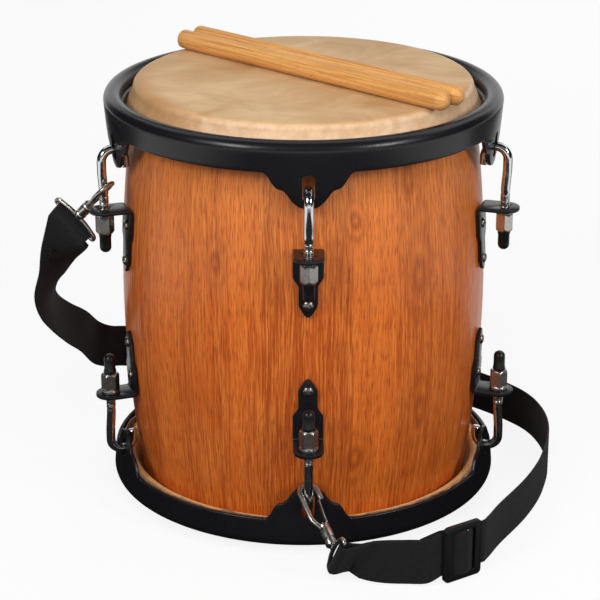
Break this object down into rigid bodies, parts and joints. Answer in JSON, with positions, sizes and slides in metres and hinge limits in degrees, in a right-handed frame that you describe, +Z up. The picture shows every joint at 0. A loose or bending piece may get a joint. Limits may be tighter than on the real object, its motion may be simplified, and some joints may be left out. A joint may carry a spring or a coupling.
{
  "type": "tambora drum",
  "caption": "Wooden barrel drum with a skin at each end, pulled tight by rims and hooks, with a carrying strap and sticks.",
  "frame": {"origin": "centre of the lower skin's flat face, on which the drum stands", "axes": "+Z up along the drum's axis, -Y towards the front lug, +X to the viewer's right"},
  "size_m": [0.4492, 0.432, 0.3751],
  "materials": {
    "wood": "lacquered",
    "hide": "dry, slightly mottled",
    "black_steel": "satin powder coat",
    "chrome": "polished",
    "hoop_steel": "galvanised",
    "rubber": "matte",
    "webbing": "woven polyester",
    "plastic": "moulded",
    "oak": "oiled"
  },
  "bodies": {
    "drum": {"shell": "wood", "top_skin": "hide", "bottom_skin": "hide", "top_bracket_front": "black_steel", "top_bracket_right": "black_steel", "top_bracket_rear_right": "black_steel", "top_bracket_rear_left": "black_steel", "top_bracket_left": "black_steel", "bottom_bracket_front": "black_steel", "bottom_bracket_right": "black_steel", "bottom_bracket_rear_right": "black_steel", "bottom_bracket_rear_left": "black_steel", "bottom_bracket_left": "black_steel", "strap": "webbing", "strap_buckle": "plastic", "front_snap_eye": "chrome", "left_snap_eye": "chrome"},
    "upper_rim": {"top_rim": "black_steel", "top_flesh_hoop": "hoop_steel", "top_hook_front": "chrome", "top_hook_right": "chrome", "top_hook_rear_right": "chrome", "top_hook_rear_left": "chrome", "top_hook_left": "chrome", "top_cap_front": "rubber", "top_cap_right": "rubber", "top_cap_rear_right": "rubber", "top_cap_rear_left": "rubber", "top_cap_left": "rubber"},
    "lower_rim": {"bottom_rim": "black_steel", "bottom_flesh_hoop": "hoop_steel", "bottom_hook_front": "chrome", "bottom_hook_right": "chrome", "bottom_hook_rear_right": "chrome", "bottom_hook_rear_left": "chrome", "bottom_hook_left": "chrome", "bottom_cap_front": "rubber", "bottom_cap_right": "rubber", "bottom_cap_rear_right": "rubber", "bottom_cap_rear_left": "rubber", "bottom_cap_left": "rubber"},
    "top_nut_front": {"top_nut_front": "chrome"},
    "top_nut_right": {"top_nut_right": "chrome"},
    "top_nut_rear_right": {"top_nut_rear_right": "chrome"},
    "top_nut_rear_left": {"top_nut_rear_left": "chrome"},
    "top_nut_left": {"top_nut_left": "chrome"},
    "bottom_nut_front": {"bottom_nut_front": "chrome"},
    "bottom_nut_right": {"bottom_nut_right": "chrome"},
    "bottom_nut_rear_right": {"bottom_nut_rear_right": "chrome"},
    "bottom_nut_rear_left": {"bottom_nut_rear_left": "chrome"},
    "bottom_nut_left": {"bottom_nut_left": "chrome"},
    "front_snap": {"front_snap_hook": "chrome"},
    "front_gate": {"front_snap_gate": "chrome"},
    "left_snap": {"left_snap_hook": "chrome"},
    "left_gate": {"left_snap_gate": "chrome"},
    "front_stick": {"stick_front": "oak"},
    "rear_stick": {"stick_rear": "oak"}
  },
  "joints": [
    {"name": "upper_rim_tuning", "type": "slide", "parent": "drum", "child": "upper_rim", "axis": [0, 0, -1], "range_m": [0, 0.004], "deforming": ["top_skin"]},
    {"name": "lower_rim_tuning", "type": "slide", "parent": "drum", "child": "lower_rim", "axis": [0, 0, 1], "range_m": [0, 0.004], "deforming": ["bottom_skin"]},
    {"name": "top_nut_front_turn", "type": "hinge", "parent": "drum", "child": "top_nut_front", "pos_m": [0.00391, -0.17246, 0.259], "axis": [0, 0, 1], "range_deg": [0, 1153]},
    {"name": "top_nut_right_turn", "type": "hinge", "parent": "drum", "child": "top_nut_right", "pos_m": [0.16522, -0.04957, 0.259], "axis": [0, 0, 1], "range_deg": [0, 1153]},
    {"name": "top_nut_rear_right_turn", "type": "hinge", "parent": "drum", "child": "top_nut_rear_right", "pos_m": [0.0982, 0.14182, 0.259], "axis": [0, 0, 1], "range_deg": [0, 1153]},
    {"name": "top_nut_rear_left_turn", "type": "hinge", "parent": "drum", "child": "top_nut_rear_left", "pos_m": [-0.10453, 0.13722, 0.259], "axis": [0, 0, 1], "range_deg": [0, 1153]},
    {"name": "top_nut_left_turn", "type": "hinge", "parent": "drum", "child": "top_nut_left", "pos_m": [-0.16281, -0.05701, 0.259], "axis": [0, 0, 1], "range_deg": [0, 1153]},
    {"name": "bottom_nut_front_turn", "type": "hinge", "parent": "drum", "child": "bottom_nut_front", "pos_m": [0.00391, -0.17246, 0.0996], "axis": [0, 0, -1], "range_deg": [0, 1153]},
    {"name": "bottom_nut_right_turn", "type": "hinge", "parent": "drum", "child": "bottom_nut_right", "pos_m": [0.16522, -0.04957, 0.0996], "axis": [0, 0, -1], "range_deg": [0, 1153]},
    {"name": "bottom_nut_rear_right_turn", "type": "hinge", "parent": "drum", "child": "bottom_nut_rear_right", "pos_m": [0.0982, 0.14182, 0.0996], "axis": [0, 0, -1], "range_deg": [0, 1153]},
    {"name": "bottom_nut_rear_left_turn", "type": "hinge", "parent": "drum", "child": "bottom_nut_rear_left", "pos_m": [-0.10453, 0.13722, 0.0996], "axis": [0, 0, -1], "range_deg": [0, 1153]},
    {"name": "bottom_nut_left_turn", "type": "hinge", "parent": "drum", "child": "bottom_nut_left", "pos_m": [-0.16281, -0.05701, 0.0996], "axis": [0, 0, -1], "range_deg": [0, 1153]},
    {"name": "front_snap_swivel", "type": "hinge", "parent": "drum", "child": "front_snap", "pos_m": [0.0226, -0.2094, 0.0332], "axis": [-0.36, 0.755, 0.548], "range_deg": [-9, 9]},
    {"name": "front_gate_hinge", "type": "hinge", "parent": "front_snap", "child": "front_gate", "pos_m": [0.01787, -0.19206, 0.04451], "axis": [0.3009, -0.462, 0.8342], "range_deg": [0, 12], "stiffness_Nm_per_rad": 0.02, "springref_deg": -8.59},
    {"name": "left_snap_swivel", "type": "hinge", "parent": "drum", "child": "left_snap", "pos_m": [-0.18587, -0.03084, 0.24813], "axis": [0.4811, -0.6001, 0.6391], "range_deg": [-9, 4]},
    {"name": "left_gate_hinge", "type": "hinge", "parent": "left_snap", "child": "left_gate", "pos_m": [-0.17771, -0.04585, 0.26075], "axis": [-0.6317, 0.2682, 0.7273], "range_deg": [0, 2], "stiffness_Nm_per_rad": 0.02, "springref_deg": -8.59},
    {"name": "front_stick_lift", "type": "slide", "parent": "drum", "child": "front_stick", "axis": [0, 0, 1], "range_m": [0, 0.15]},
    {"name": "rear_stick_lift", "type": "slide", "parent": "drum", "child": "rear_stick", "axis": [0, 0, 1], "range_m": [0, 0.15]}
  ],
  "couplings": [
    {"joint": "top_nut_front_turn", "follows": "upper_rim_tuning", "rad_per_m": 5026.5},
    {"joint": "top_nut_right_turn", "follows": "upper_rim_tuning", "rad_per_m": 5026.5},
    {"joint": "top_nut_rear_right_turn", "follows": "upper_rim_tuning", "rad_per_m": 5026.5},
    {"joint": "top_nut_rear_left_turn", "follows": "upper_rim_tuning", "rad_per_m": 5026.5},
    {"joint": "top_nut_left_turn", "follows": "upper_rim_tuning", "rad_per_m": 5026.5},
    {"joint": "bottom_nut_front_turn", "follows": "lower_rim_tuning", "rad_per_m": 5026.5},
    {"joint": "bottom_nut_right_turn", "follows": "lower_rim_tuning", "rad_per_m": 5026.5},
    {"joint": "bottom_nut_rear_right_turn", "follows": "lower_rim_tuning", "rad_per_m": 5026.5},
    {"joint": "bottom_nut_rear_left_turn", "follows": "lower_rim_tuning", "rad_per_m": 5026.5},
    {"joint": "bottom_nut_left_turn", "follows": "lower_rim_tuning", "rad_per_m": 5026.5}
  ]
}
